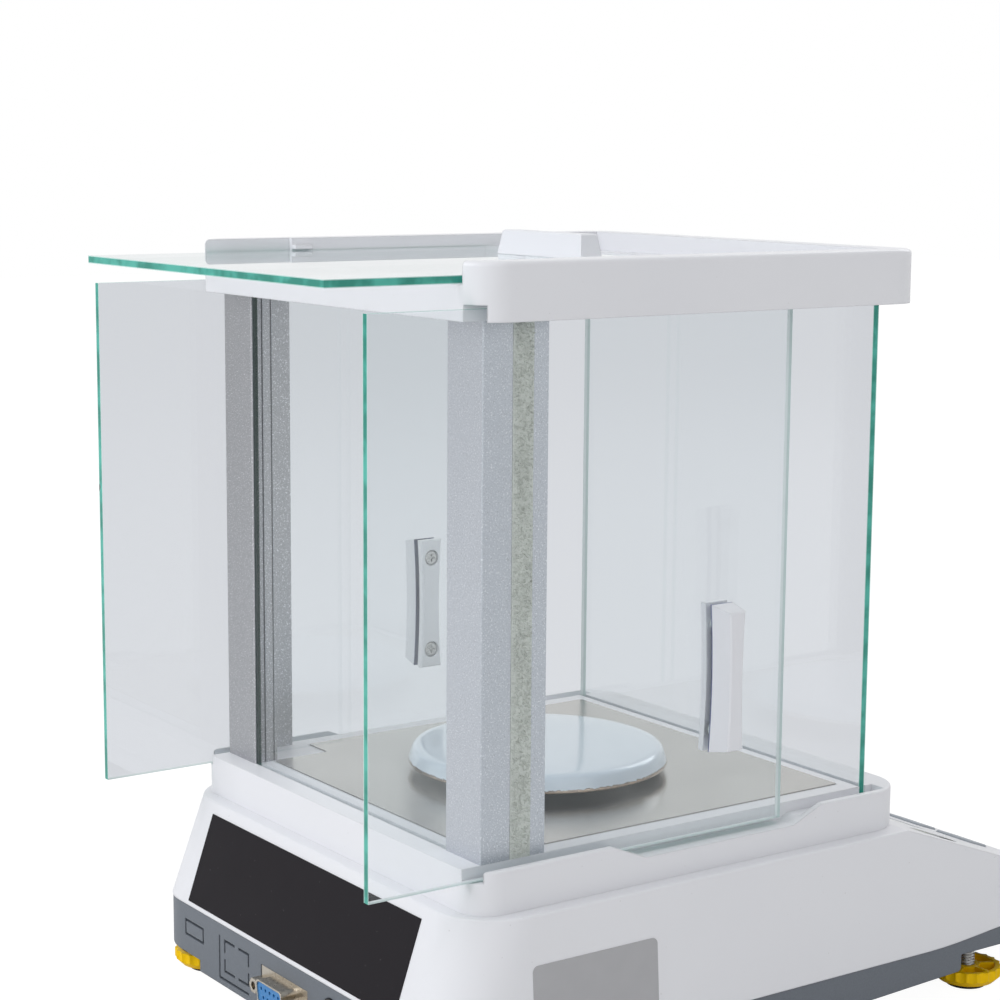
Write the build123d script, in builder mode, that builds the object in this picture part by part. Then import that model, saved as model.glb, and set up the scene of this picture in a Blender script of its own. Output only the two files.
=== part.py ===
from build123d import *
import os
from math import atan, cos, degrees, radians, sin, tan

# A precision balance of the 1 mg class, with a glass draft shield whose two side doors and top
# door slide. Millimetres. X is to the user's right, Y is to the rear and Z is up. The origin is
# on the table, under the middle of the balance as it stands with its doors partly open.

# Base: heights above the table, and plan positions
TRAY_Z = 8.5
TRAY_FRONT_Z = 11.1
NOSE_UNDERSIDE_Z = 17.0
SIDE_SEAM_Z = 21.6
FRONT_SEAM_Z = 24.2
REAR_SEAM_Z = 30.5
LEDGE_Z = 65.6
DECK_Z = 79.5
BODY_FRONT = -156.8
NOSE_STEP_Y = -89.1
TRAY_RISE_Y = -20.0
PANEL_TOP_Y = -63.5
LEDGE_REAR = 116.3
TRAY_REAR = 127.9
LEDGE_HALF = 93.0
SEAM_HALF = 96.0
TRAY_HALF = 95.3
PANEL_ANGLE = 20.2
REAR_ANGLE = 18.75
WALL = 2.5
SEAM_STEP = 0.4
SEAM_GAP = 0.3
REAR_CORNER_R = 22.0
NOSE_CORNER_R = 12.0

# Raised rim that carries the draft shield
RIM_HALF = 87.5
RIM_FRONT = -68.5
RIM_REAR = 111.4
RIM_FRONT_R = 15.0
RIM_REAR_R = 10.0
SLOT_INNER = 79.4
SLOT_OUTER = 85.4
SLOT_FLOOR_Z = 75.9
SLOT_FRONT = -58.6
DIP_Z = 74.1
DIP_TOP_Y = (-28.4, 59.6)
DIP_FLOOR_Y = (-15.8, 46.7)

# Draft shield
GLASS_T = 2.5
POST_HALF = 79.4
POST_W = 19.0
POST_REAR = 104.5
POST_BAR_D = 9.0
POST_DEPTH = 24.0
POST_FLANGE_T = 3.6
FRAME_Z = 244.7
FRAME_TOP_Z = 262.5
FRAME_HALF = 87.8
FRAME_FRONT = -67.9
FRAME_REAR = 112.1
FRAME_R = 12.0
TOP_REBATE_Z = 255.5
FRAME_SLOT_Z = 249.7
DOOR_X = 81.95
DOOR_LENGTH = 160.0
DOOR_Z = (76.2, 248.6)
LEFT_DOOR_REAR = 146.7
RIGHT_DOOR_REAR = 151.4
FRONT_PANE_Y = -54.15
FRONT_PANE_HALF = 79.0
REAR_PANE_Y = (101.9, 103.9)
TOP_PANE_HALF = 76.5
TOP_PANE_LENGTH = 161.0
TOP_PANE_REAR = 156.8
TOP_PANE_Z = 255.7

# Door handles
HANDLE_TO_REAR = 132.7
HANDLE_L = 48.3
HANDLE_W = 8.8
HANDLE_WAIST = 7.0
GRIP_L = 45.0
GRIP_W = 6.4
GRIP_H = 8.4
BACK_PLATE_T = 2.8
HANDLE_SCREW_PITCH = 35.0
LEFT_HANDLE_Z = 127.2
RIGHT_HANDLE_Z = 124.6
TOP_HANDLE_Y = 22.8

# Weighing parts
PAN_Y = 25.5
PAN_R = 45.0
PAN_TOP_R = 40.7
PAN_RIM_Z = 83.3
PAN_TOP_Z = 89.7
PLATE_HALF = 72.8
PLATE_FRONT = -48.7
PLATE_REAR = 75.5
PLATE_TONGUE_HALF = 59.8
PLATE_TONGUE_REAR = 97.0
PLATE_T = 0.8
PAN_HOLE_R = 18.0
CELL_L = 130.0
CELL_W = 24.0
CELL_H = 22.0
CELL_Z = 29.0
CELL_BOLT_PITCH = 12.0

# Feet
FOOT_X = 83.3
FOOT_FRONT_Y = -104.5
FOOT_REAR_Y = 111.4
WHEEL_R = 12.4
WHEEL_H = 5.5
PAD_R = 7.5
PAD_H = 1.8
STUD_R = 3.0
STUD_TOP_Z = 35.0
FLUTES = 20
NOTCH_Z = 12.6
NOTCH_X = 58.9
NOTCH_Y = 96.0

# Front panel
KEY_PITCH = 26.0
KEY_L = 18.0
KEY_W = 11.0
KEY_ROW_Y = -24.0
WINDOW_L = 112.0
WINDOW_W = 38.0
WINDOW_Y = 17.0
LEVEL_X = -75.0
LEVEL_Y = -94.0
LEVEL_R = 8.4

# Rear panel
SERIAL_Z = 18.7
JACKSCREW_X = 12.5
POWER_X = -30.3
POWER_Z = 20.9
BOARD_Y = 113.0
SLIT_W = 0.9

side_lean = degrees(atan((SEAM_HALF - LEDGE_HALF) / (LEDGE_Z - SIDE_SEAM_Z)))
nose_z = LEDGE_Z - (PANEL_TOP_Y - BODY_FRONT) * tan(radians(PANEL_ANGLE))
rear_slope = tan(radians(REAR_ANGLE))
rear_foot_y = LEDGE_REAR + (LEDGE_Z - TRAY_Z) * rear_slope

# The front panel's own plane: its Y runs up the slope
panel = Plane(
    origin=(0, (BODY_FRONT + PANEL_TOP_Y) / 2, (nose_z + LEDGE_Z) / 2),
    x_dir=(1, 0, 0),
    z_dir=(0, -sin(radians(PANEL_ANGLE)), cos(radians(PANEL_ANGLE))),
)

os.makedirs("parts", exist_ok=True)


def block(x, y, z, mode=Mode.ADD):
    """A box between two values along each axis, in the part being built."""
    with Locations(((x[0] + x[1]) / 2, (y[0] + y[1]) / 2, (z[0] + z[1]) / 2)):
        Box(x[1] - x[0], y[1] - y[0], z[1] - z[0], mode=mode)


def rod(x, y, z, radius, mode=Mode.ADD):
    """An upright cylinder between two heights, in the part being built."""
    with Locations((x, y, z[0])):
        Cylinder(radius, z[1] - z[0], align=(Align.CENTER, Align.CENTER, Align.MIN), mode=mode)


def seam_region(top, drop=0.0):
    """Side view of everything below the seam between the two housings, or above it."""
    far = 200.0
    limit = 150.0 if top else -50.0
    with BuildSketch(Plane.YZ) as region:
        with BuildLine():
            Polyline(
                (far, REAR_SEAM_Z - drop),
                (far, limit),
                (-far, limit),
                (-far, FRONT_SEAM_Z - drop),
                (-116.0, FRONT_SEAM_Z - drop),
            )
            Bezier(
                (-116.0, FRONT_SEAM_Z - drop),
                (-104.0, FRONT_SEAM_Z - drop),
                (-90.0, SIDE_SEAM_Z - drop),
                (-72.0, SIDE_SEAM_Z - drop),
            )
            Line((-72.0, SIDE_SEAM_Z - drop), (84.0, SIDE_SEAM_Z - drop))
            Bezier(
                (84.0, SIDE_SEAM_Z - drop),
                (98.0, SIDE_SEAM_Z - drop),
                (100.0, REAR_SEAM_Z - drop),
                (114.0, REAR_SEAM_Z - drop),
            )
            Line((114.0, REAR_SEAM_Z - drop), (far, REAR_SEAM_Z - drop))
        make_face()
    return region.sketch


def upright_edges(part, y_from, y_to):
    """The long corner edges that stand more or less upright between two depths."""
    return part.edges().filter_by(
        lambda e: y_from < e.center().Y < y_to and abs(e.tangent_at(0.5).Z) > 0.8 and e.length > 8
    )


foot_places = [
    (sx * FOOT_X, y) for y in (FOOT_FRONT_Y, FOOT_REAR_Y) for sx in (-1, 1)
]
foot_names = ["front_left", "front_right", "rear_left", "rear_right"]
housing_screw_places = [(-80, -42), (80, -42), (-80, 86), (80, 86)]
post_screw_places = [(sx * x, POST_REAR - POST_BAR_D / 2) for sx in (-1, 1) for x in (65.5, 74.5)]
key_names = ["power", "tare", "calibrate", "units", "print"]
key_places = [((i - 2) * KEY_PITCH, KEY_ROW_Y) for i in range(5)]

# Upper housing: the white moulded shell with the raised rim, the deck and the sloping panel
with BuildPart() as upper_housing:
    with BuildSketch(Plane.YZ):
        with BuildLine():
            Polyline(
                (BODY_FRONT, TRAY_Z),
                (BODY_FRONT, nose_z),
                (PANEL_TOP_Y, LEDGE_Z),
                (LEDGE_REAR, LEDGE_Z),
                (rear_foot_y, TRAY_Z),
                close=True,
            )
        make_face()
    extrude(amount=SEAM_HALF + 10, both=True)
    for side in (1, -1):
        lean = radians(side_lean)
        flank = Plane(
            origin=(side * LEDGE_HALF, 0, LEDGE_Z), z_dir=(side * cos(lean), 0, sin(lean))
        )
        split(bisect_by=flank, keep=Keep.BOTTOM)
    fillet(upright_edges(upper_housing, LEDGE_REAR - 5, 200), REAR_CORNER_R)
    fillet(upright_edges(upper_housing, -200, BODY_FRONT + 2), NOSE_CORNER_R)
    filled = upper_housing.part
    offset(
        amount=-WALL,
        openings=upper_housing.faces().sort_by(Axis.Z)[0],
        kind=Kind.INTERSECTION,
    )
    fillet(upper_housing.edges().filter_by(
        lambda e: abs(e.center().Z - LEDGE_Z) < 0.01 and e.center().Y > PANEL_TOP_Y + 1
        and (abs(e.center().X) > LEDGE_HALF - 10 or e.center().Y > LEDGE_REAR - 10)
    ), 0.8)
    extrude(seam_region(top=False), amount=SEAM_HALF + 20, both=True, mode=Mode.SUBTRACT)
    well = Cylinder(LEVEL_R + 2.2, 60, mode=Mode.PRIVATE)
    add(filled & well.moved(Location((LEVEL_X, LEVEL_Y, 70))))

    # Rim and deck, hollow from below
    with BuildSketch(Plane.XY.offset(LEDGE_Z - WALL)) as rim_plan:
        with Locations((0, (RIM_FRONT + RIM_REAR) / 2)):
            Rectangle(2 * RIM_HALF, RIM_REAR - RIM_FRONT)
        fillet(rim_plan.vertices().group_by(Axis.Y)[0], RIM_FRONT_R)
        fillet(rim_plan.vertices().group_by(Axis.Y)[-1], RIM_REAR_R)
    extrude(amount=DECK_Z - LEDGE_Z + WALL)
    with BuildSketch(Plane.XY.offset(LEDGE_Z - WALL)) as rim_cavity:
        add(rim_plan.sketch)
        offset(amount=-WALL)
    extrude(amount=8.4, mode=Mode.SUBTRACT)
    block((-76, 76), (-50, 78), (70, DECK_Z - WALL), Mode.SUBTRACT)

    # Door slots, open at the rear, and the dips in the rim beside them
    for side in (-1, 1):
        inner, outer = sorted((side * SLOT_INNER, side * SLOT_OUTER))
        block((inner, outer), (SLOT_FRONT, RIM_REAR + 5), (SLOT_FLOOR_Z, DECK_Z + 5), Mode.SUBTRACT)
        with BuildSketch(Plane.YZ.offset(side * (SLOT_INNER + RIM_HALF + 2) / 2)):
            with BuildLine():
                Polyline(
                    (DIP_TOP_Y[0], DECK_Z),
                    (DIP_FLOOR_Y[0], DIP_Z),
                    (DIP_FLOOR_Y[1], DIP_Z),
                    (DIP_TOP_Y[1], DECK_Z),
                    (DIP_TOP_Y[1], DECK_Z + 5),
                    (DIP_TOP_Y[0], DECK_Z + 5),
                    close=True,
                )
            make_face()
        extrude(amount=(RIM_HALF + 2 - SLOT_INNER) / 2, both=True, mode=Mode.SUBTRACT)

    # Seats of the fixed panes and of the floor plate
    half_t = GLASS_T / 2
    block(
        (-FRONT_PANE_HALF - 0.4, FRONT_PANE_HALF + 0.4),
        (FRONT_PANE_Y - half_t, FRONT_PANE_Y + half_t),
        (SLOT_FLOOR_Z, DECK_Z + 5),
        Mode.SUBTRACT,
    )
    block(
        (-POST_HALF + POST_W, POST_HALF - POST_W),
        REAR_PANE_Y,
        (78.0, DECK_Z + 5),
        Mode.SUBTRACT,
    )
    for half, rear in ((PLATE_HALF, PLATE_REAR), (PLATE_TONGUE_HALF, PLATE_TONGUE_REAR)):
        block((-half, half), (PLATE_FRONT, rear), (DECK_Z - 0.5, DECK_Z + 5), Mode.SUBTRACT)
    rod(0, PAN_Y, (DECK_Z - WALL, DECK_Z + 2.0), PAN_HOLE_R + 2)
    rod(0, PAN_Y, (70, DECK_Z + 5), PAN_HOLE_R, Mode.SUBTRACT)

    # Screw posts under the ledge, and the holes of the pillar screws
    for x, y in housing_screw_places:
        rod(x, y, (33, 72), 4.0)
        rod(x, y, (30, 55), 1.56, Mode.SUBTRACT)
    for x, y in post_screw_places:
        rod(x, y, (60, DECK_Z + 5), 1.7, Mode.SUBTRACT)

    # Window, key openings and level opening in the panel
    with BuildSketch(panel.offset(1)):
        with Locations((0, WINDOW_Y)):
            RectangleRounded(WINDOW_L, WINDOW_W, 3)
    extrude(amount=-2.5, mode=Mode.SUBTRACT)
    with BuildSketch(panel.offset(1)):
        with Locations((0, WINDOW_Y)):
            RectangleRounded(WINDOW_L - 8, WINDOW_W - 8, 2)
        with Locations(*key_places):
            RectangleRounded(KEY_L + 0.6, KEY_W + 0.6, 2.6)
    extrude(amount=-6, mode=Mode.SUBTRACT)
    rod(LEVEL_X, LEVEL_Y, (42, 80), LEVEL_R + 0.1, Mode.SUBTRACT)
    for x in (-59, 59):
        for y in (6, 38):
            post = panel.offset(-WALL + 0.5).location * Location((x, y, 0))
            with Locations(post):
                Cylinder(2.6, 10.0, align=(Align.CENTER, Align.CENTER, Align.MAX))

    # Soft edges: the ledge, the rim's top, the panel's sides and the nose
    rim_top = upper_housing.edges().filter_by(
        lambda e: abs(e.center().Z - DECK_Z) < 0.01
        and (abs(e.center().X) > RIM_HALF - 0.5 or e.center().Y < RIM_FRONT + 0.5)
        and e.length > 20
    )
    fillet(rim_top, 0.8)
upper_housing.part.label = "upper_housing"
export_step(upper_housing.part, "parts/upper_housing.step")

# Lower housing: the grey moulded tray, with raised front, rear corner notches and rear panel
with BuildPart() as lower_housing:
    with BuildSketch(Plane.YZ):
        with BuildLine():
            Polyline(
                (BODY_FRONT + SEAM_STEP, NOSE_UNDERSIDE_Z),
                (BODY_FRONT + SEAM_STEP, 40),
                (TRAY_REAR, 40),
                (TRAY_REAR, TRAY_Z),
                (TRAY_RISE_Y, TRAY_Z),
                (NOSE_STEP_Y, TRAY_FRONT_Z),
                (NOSE_STEP_Y, NOSE_UNDERSIDE_Z),
                close=True,
            )
        make_face()
    extrude(amount=TRAY_HALF, both=True)
    fillet(upright_edges(lower_housing, TRAY_REAR - 2, 200), REAR_CORNER_R - SEAM_STEP)
    fillet(upright_edges(lower_housing, -200, BODY_FRONT + 2), NOSE_CORNER_R - SEAM_STEP)
    for side in (-1, 1):
        inner, outer = sorted((side * NOTCH_X, side * (SEAM_HALF + 5)))
        block((inner, outer), (NOTCH_Y, TRAY_REAR + 5), (TRAY_Z - 5, NOTCH_Z), Mode.SUBTRACT)
    offset(
        amount=-WALL,
        openings=lower_housing.faces().sort_by(Axis.Z)[-1],
        kind=Kind.INTERSECTION,
    )
    extrude(seam_region(top=True, drop=SEAM_GAP), amount=SEAM_HALF + 20, both=True,
            mode=Mode.SUBTRACT)
    fillet(lower_housing.edges().filter_by(
        lambda e: abs(e.center().Y - NOSE_STEP_Y) < 0.1
        and abs(e.center().Z - TRAY_FRONT_Z) < 0.1 and e.length > 100
    ), 1.6)

    # Bosses: foot inserts, housing screws, cell base, and the ribs that hold the main board
    for x, y in foot_places:
        under = NOSE_UNDERSIDE_Z if y < 0 else NOTCH_Z
        rod(x, y, (under, under + 12.5), 7.0)
        rod(x, y, (under, under + 10.2), 4.5, Mode.SUBTRACT)
        rod(x, y, (under, under + 20), 3.4, Mode.SUBTRACT)
    for x, y in housing_screw_places:
        rod(x, y, (TRAY_Z + 1.5, 33), 4.5)
        rod(x, y, (TRAY_Z, 33), 1.7, Mode.SUBTRACT)
        rod(x, y, (TRAY_Z, 27), 3.2, Mode.SUBTRACT)
    for x in (-28, 28):
        for y in (-52, 92):
            rod(x, y, (TRAY_Z + 1.8, 16), 4.0)
            rod(x, y, (16, 21.5), 1.9)
    for x in (-57, 69):
        block((x - 2.5, x + 2.5), (110.5, 117.1), (NOTCH_Z + 1, 28))
        block((x - 3, x + 3), (BOARD_Y - 0.1, BOARD_Y + 1.7), (15.4, 30), Mode.SUBTRACT)

    # Rear panel openings: serial port, power jack, knock-out, blank island and a fine slit
    rear_wall = (TRAY_REAR - WALL - 1, TRAY_REAR + 1)
    block((-15.3, 15.3), rear_wall, (SERIAL_Z - 5.7, SERIAL_Z + 5.7), Mode.SUBTRACT)
    rear_plane = Plane(origin=(0, TRAY_REAR, 0), x_dir=(-1, 0, 0), z_dir=(0, 1, 0))
    with BuildSketch(rear_plane.offset(1)):
        with Locations((-POWER_X, POWER_Z)):
            Circle(5.8)
    extrude(amount=-5, mode=Mode.SUBTRACT)
    for sx in (-1, 1):
        for sz in (-1, 1):
            slit_x = 32.3 + sx * 5.0
            slit_z = 19.5 + sz * 3.4
            block((slit_x - 3.7, slit_x + 3.7), rear_wall, (19.5 + sz * 5.45 - SLIT_W / 2,
                  19.5 + sz * 5.45 + SLIT_W / 2), Mode.SUBTRACT)
            block((32.3 + sx * 8.35 - SLIT_W / 2, 32.3 + sx * 8.35 + SLIT_W / 2), rear_wall,
                  (slit_z - 2.3, slit_z + 2.3), Mode.SUBTRACT)
    with BuildSketch(rear_plane):
        with Locations((-62.95, 21.9)):
            Rectangle(13.9, 6.0)
            Rectangle(13.9 - 2 * SLIT_W, 6.0 - 2 * SLIT_W, mode=Mode.SUBTRACT)
        with Locations((-44.4, 18.3)):
            Rectangle(SLIT_W, 15.4)
        with Locations((-34.1, 10.9)):
            Rectangle(20.6, SLIT_W)
    extrude(amount=-1.6, mode=Mode.SUBTRACT)
lower_housing.part.label = "lower_housing"
export_step(lower_housing.part, "parts/lower_housing.step")

# Floor plate of the weighing chamber, let into the deck round the collar of the pan hole
with BuildPart() as floor_plate:
    for half, rear in ((PLATE_HALF, PLATE_REAR), (PLATE_TONGUE_HALF, PLATE_TONGUE_REAR)):
        block(
            (-half + 0.15, half - 0.15),
            (PLATE_FRONT + 0.15, rear - 0.15),
            (DECK_Z - 0.5, DECK_Z - 0.5 + PLATE_T),
        )
    rod(0, PAN_Y, (DECK_Z - 2, DECK_Z + 2), PAN_HOLE_R + 2.15, Mode.SUBTRACT)
    fillet(floor_plate.edges().filter_by(Axis.Z).filter_by(lambda e: abs(e.center().X) > 50), 0.8)
floor_plate.part.label = "floor_plate"
export_step(floor_plate.part, "parts/floor_plate.step")


def rear_pillar(side):
    """One L-section aluminium pillar with a pile groove outside and fine grooves inside."""
    with BuildPart() as pillar:
        with BuildSketch(Plane.XY.offset(DECK_Z)) as section:
            with BuildLine():
                Polyline(
                    (POST_HALF, POST_REAR),
                    (POST_HALF, POST_REAR - 10.8),
                    (POST_HALF - 1.2, POST_REAR - 10.8),
                    (POST_HALF - 1.2, POST_REAR - 18.6),
                    (POST_HALF, POST_REAR - 18.6),
                    (POST_HALF, POST_REAR - POST_DEPTH),
                    (POST_HALF - POST_FLANGE_T, POST_REAR - POST_DEPTH),
                    (POST_HALF - POST_FLANGE_T, POST_REAR - POST_BAR_D),
                    (POST_HALF - POST_W, POST_REAR - POST_BAR_D),
                    (POST_HALF - POST_W, POST_REAR),
                    close=True,
                )
            make_face()
            with Locations(
                (POST_HALF - POST_W, POST_REAR - 4.2), (POST_HALF - POST_W, POST_REAR - 7.7)
            ):
                Rectangle(1.6, 0.6, mode=Mode.SUBTRACT)
            with Locations((65.5, POST_REAR - POST_BAR_D / 2), (74.5, POST_REAR - POST_BAR_D / 2)):
                Circle(1.56, mode=Mode.SUBTRACT)
            fillet(section.vertices().sort_by(lambda v: -v.X - v.Y)[0], 0.5)
            fillet(section.vertices().sort_by(lambda v: v.X)[0:4].sort_by(Axis.Y)[-1], 0.5)
        extrude(amount=FRAME_Z - DECK_Z)
        if side < 0:
            mirror(about=Plane.YZ, mode=Mode.REPLACE)
    return pillar.part


pillar_left = rear_pillar(-1)
pillar_left.label = "rear_pillar_left"
export_step(pillar_left, "parts/rear_pillar_left.step")
pillar_right = rear_pillar(1)
pillar_right.label = "rear_pillar_right"
export_step(pillar_right, "parts/rear_pillar_right.step")

# Pile strips that wipe the side doors
with BuildPart() as pile_strips:
    for side in (-1, 1):
        inner, outer = sorted((side * (POST_HALF - 1.2), side * (POST_HALF + 1.0)))
        block((inner, outer), (POST_REAR - 18.5, POST_REAR - 10.9), (DECK_Z, FRAME_Z))
pile_strips.part.label = "pile_strips"
export_step(pile_strips.part, "parts/pile_strips.step")

# Top frame: white rails on the pillars, a rebate for the sliding top pane, slots for the doors
with BuildPart() as top_frame:
    with BuildSketch(Plane.XY.offset(FRAME_Z)) as frame_plan:
        with Locations((0, (FRAME_FRONT + FRAME_REAR) / 2)):
            Rectangle(2 * FRAME_HALF, FRAME_REAR - FRAME_FRONT)
        fillet(frame_plan.vertices(), FRAME_R)
    extrude(amount=FRAME_TOP_Z - FRAME_Z)
    fillet(top_frame.faces().sort_by(Axis.Z)[-1].edges(), 1.6)
    block((-77, 77), (-56.5, 78.5), (TOP_REBATE_Z, FRAME_TOP_Z + 5), Mode.SUBTRACT)
    block((-79, 79), (78.5, FRAME_REAR + 5), (TOP_REBATE_Z, FRAME_TOP_Z + 5), Mode.SUBTRACT)
    block((-70, 70), (-47, 79), (FRAME_Z - 5, FRAME_TOP_Z), Mode.SUBTRACT)
    block((-59.5, 59.5), (70, 94.5), (FRAME_Z - 5, FRAME_TOP_Z), Mode.SUBTRACT)
    for side in (-1, 1):
        inner, outer = sorted((side * SLOT_INNER, side * SLOT_OUTER))
        block((inner, outer), (SLOT_FRONT, FRAME_REAR + 5), (FRAME_Z - 5, FRAME_SLOT_Z),
              Mode.SUBTRACT)
        tip, root = sorted((side * 74.5, side * 77.5))
        block((tip, root), (71.5, 78.5), (258.7, 260.3))
    block(
        (-FRONT_PANE_HALF - 0.4, FRONT_PANE_HALF + 0.4),
        (FRONT_PANE_Y - half_t, FRONT_PANE_Y + half_t),
        (FRAME_Z - 5, 248.5),
        Mode.SUBTRACT,
    )
    block(
        (-POST_HALF + POST_W, POST_HALF - POST_W),
        REAR_PANE_Y,
        (FRAME_Z - 5, 246.6),
        Mode.SUBTRACT,
    )
    for x, y in post_screw_places:
        rod(x, y, (FRAME_Z - 5, TOP_REBATE_Z + 1), 1.7, Mode.SUBTRACT)
        rod(x, y, (252.4, TOP_REBATE_Z + 1), 3.2, Mode.SUBTRACT)
top_frame.part.label = "top_frame"
export_step(top_frame.part, "parts/top_frame.step")

# Fixed panes
with BuildPart() as front_glass:
    block((-FRONT_PANE_HALF, FRONT_PANE_HALF), (FRONT_PANE_Y - half_t, FRONT_PANE_Y + half_t),
          (SLOT_FLOOR_Z, 248.4))
front_glass.part.label = "front_glass"
export_step(front_glass.part, "parts/front_glass.step")
with BuildPart() as rear_glass:
    block((-60.4, 60.4), REAR_PANE_Y, (78.0, 246.5))
rear_glass.part.label = "rear_glass"
export_step(rear_glass.part, "parts/rear_glass.step")


def pan_head_screw(radius, head_r, head_h, length):
    """A recessed pan-head screw: underside of the head at the origin, shank going down."""
    with BuildPart() as screw:
        rod(0, 0, (0, head_h), head_r)
        chamfer(screw.faces().sort_by(Axis.Z)[-1].edges(), head_h * 0.3)
        rod(0, 0, (-length, 0), radius)
        for half_x, half_y in ((head_r * 0.55, 0.35), (0.35, head_r * 0.55)):
            block((-half_x, half_x), (-half_y, half_y), (head_h * 0.45, head_h + 1), Mode.SUBTRACT)
    return screw.part


def socket_screw(radius, head_r, head_h, length):
    """A cylinder-head screw with a hexagon socket, underside of the head at the origin."""
    with BuildPart() as screw:
        rod(0, 0, (0, head_h), head_r)
        rod(0, 0, (-length, 0), radius)
        with BuildSketch(Plane.XY.offset(head_h)):
            RegularPolygon(radius * 0.9, 6)
        extrude(amount=-head_h * 0.6, mode=Mode.SUBTRACT)
    return screw.part


# Screws between deck and pillars, frame and pillars, and the two housings
upright_screw = pan_head_screw(1.5, 2.8, 2.3, 18)
with BuildPart() as pillar_screws:
    for x, y in post_screw_places:
        add(Location((x, y, 71.5), (180, 0, 0)) * upright_screw)
pillar_screws.part.label = "pillar_screws"
export_step(pillar_screws.part, "parts/pillar_screws.step")
with BuildPart() as frame_screws:
    for x, y in post_screw_places:
        add(Location((x, y, 252.4)) * upright_screw)
frame_screws.part.label = "frame_screws"
export_step(frame_screws.part, "parts/frame_screws.step")
with BuildPart() as housing_screws:
    for x, y in housing_screw_places:
        add(Location((x, y, 27.0), (180, 0, 0)) * upright_screw)
housing_screws.part.label = "housing_screws"
export_step(housing_screws.part, "parts/housing_screws.step")

# Weighing system: cast base, single-point load cell, its bolts and the pan carrier
cell_front = PAN_Y - CELL_L / 2
cell_rear = PAN_Y + CELL_L / 2
fixed_bolts = (cell_front + 8, cell_front + 8 + CELL_BOLT_PITCH)
free_bolts = (cell_rear - 8, cell_rear - 8 - CELL_BOLT_PITCH)
with BuildPart() as cell_base:
    block((-34, 34), (-59, 98), (16, 20))
    fillet(cell_base.edges().filter_by(Axis.Z), 5)
    for x in (-30, 27):
        block((x, x + 3), (-50, 90), (20, 23))
    block((-13, 13), (cell_front, cell_front + 28), (20, CELL_Z))
    for x in (-28, 28):
        for y in (-52, 92):
            rod(x, y, (15, 25), 2.0, Mode.SUBTRACT)
    for y in fixed_bolts:
        rod(0, y, (18, 35), 2.56, Mode.SUBTRACT)
cell_base.part.label = "cell_base"
export_step(cell_base.part, "parts/cell_base.step")
with BuildPart() as load_cell:
    block((-CELL_W / 2, CELL_W / 2), (cell_front, cell_rear), (CELL_Z, CELL_Z + CELL_H))
    with BuildSketch(Plane.YZ):
        with Locations((PAN_Y - 15, CELL_Z + CELL_H / 2), (PAN_Y + 15, CELL_Z + CELL_H / 2)):
            Circle(8.6)
        with Locations((PAN_Y, CELL_Z + CELL_H / 2)):
            Rectangle(30, 8)
    extrude(amount=CELL_W, both=True, mode=Mode.SUBTRACT)
    for y in fixed_bolts:
        rod(0, y, (20, 60), 2.56, Mode.SUBTRACT)
    for y in free_bolts:
        rod(0, y, (37, 60), 2.56, Mode.SUBTRACT)
load_cell.part.label = "load_cell"
export_step(load_cell.part, "parts/load_cell.step")
cell_top = CELL_Z + CELL_H
with BuildPart() as load_cell_bolts:
    fixed_bolt = socket_screw(2.5, 4.25, 4.5, 30)
    free_bolt = socket_screw(2.5, 4.25, 4.5, 19)
    for y in fixed_bolts:
        add(Location((0, y, cell_top)) * fixed_bolt)
    for y in free_bolts:
        add(Location((0, y, cell_top + 6)) * free_bolt)
load_cell_bolts.part.label = "load_cell_bolts"
export_step(load_cell_bolts.part, "parts/load_cell_bolts.step")
with BuildPart() as pan_carrier:
    block((-11, 11), (cell_rear - 25, cell_rear), (cell_top, cell_top + 6))
    block((-11, 11), (PAN_Y - 11, cell_rear), (cell_top + 1, cell_top + 6))
    fillet(pan_carrier.edges().filter_by(Axis.Z), 2.5)
    for y in free_bolts:
        rod(0, y, (cell_top - 2, cell_top + 8), 2.56, Mode.SUBTRACT)
    rod(0, PAN_Y, (cell_top + 6, 75.5), 6.0)
    with Locations((0, PAN_Y, 75.5)):
        Cone(4.6, 2.4, 9.0, align=(Align.CENTER, Align.CENTER, Align.MIN))
pan_carrier.part.label = "pan_carrier"
export_step(pan_carrier.part, "parts/pan_carrier.step")

# Weighing pan: a thin inverted dish with a turned hub that sits on the carrier's cone
with BuildPart() as weighing_pan:
    with BuildSketch(Plane(origin=(0, PAN_Y, 0), x_dir=(1, 0, 0), z_dir=(0, -1, 0))):
        with BuildLine():
            Polyline(
                (0, PAN_TOP_Z),
                (PAN_TOP_R - 2.6, PAN_TOP_Z),
                (PAN_TOP_R - 1.1, PAN_TOP_Z - 0.3),
                (PAN_TOP_R - 0.1, PAN_TOP_Z - 1.1),
                (PAN_TOP_R + 0.6, PAN_TOP_Z - 2.2),
                (PAN_R, PAN_RIM_Z + 0.8),
                (PAN_R, PAN_RIM_Z),
                (PAN_R - 0.9, PAN_RIM_Z),
                (PAN_TOP_R - 0.9, PAN_TOP_Z - 1.8),
                (PAN_TOP_R - 2.8, PAN_TOP_Z - 0.8),
                (0, PAN_TOP_Z - 0.8),
                close=True,
            )
        make_face()
    revolve(axis=Axis((0, PAN_Y, 0), (0, 0, 1)))
    rod(0, PAN_Y, (76.5, PAN_TOP_Z - 0.5), 8.0)
    with Locations((0, PAN_Y, 75.5)):
        Cone(4.9, 2.7, 9.3, align=(Align.CENTER, Align.CENTER, Align.MIN), mode=Mode.SUBTRACT)
weighing_pan.part.label = "weighing_pan"
export_step(weighing_pan.part, "parts/weighing_pan.step")

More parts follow.
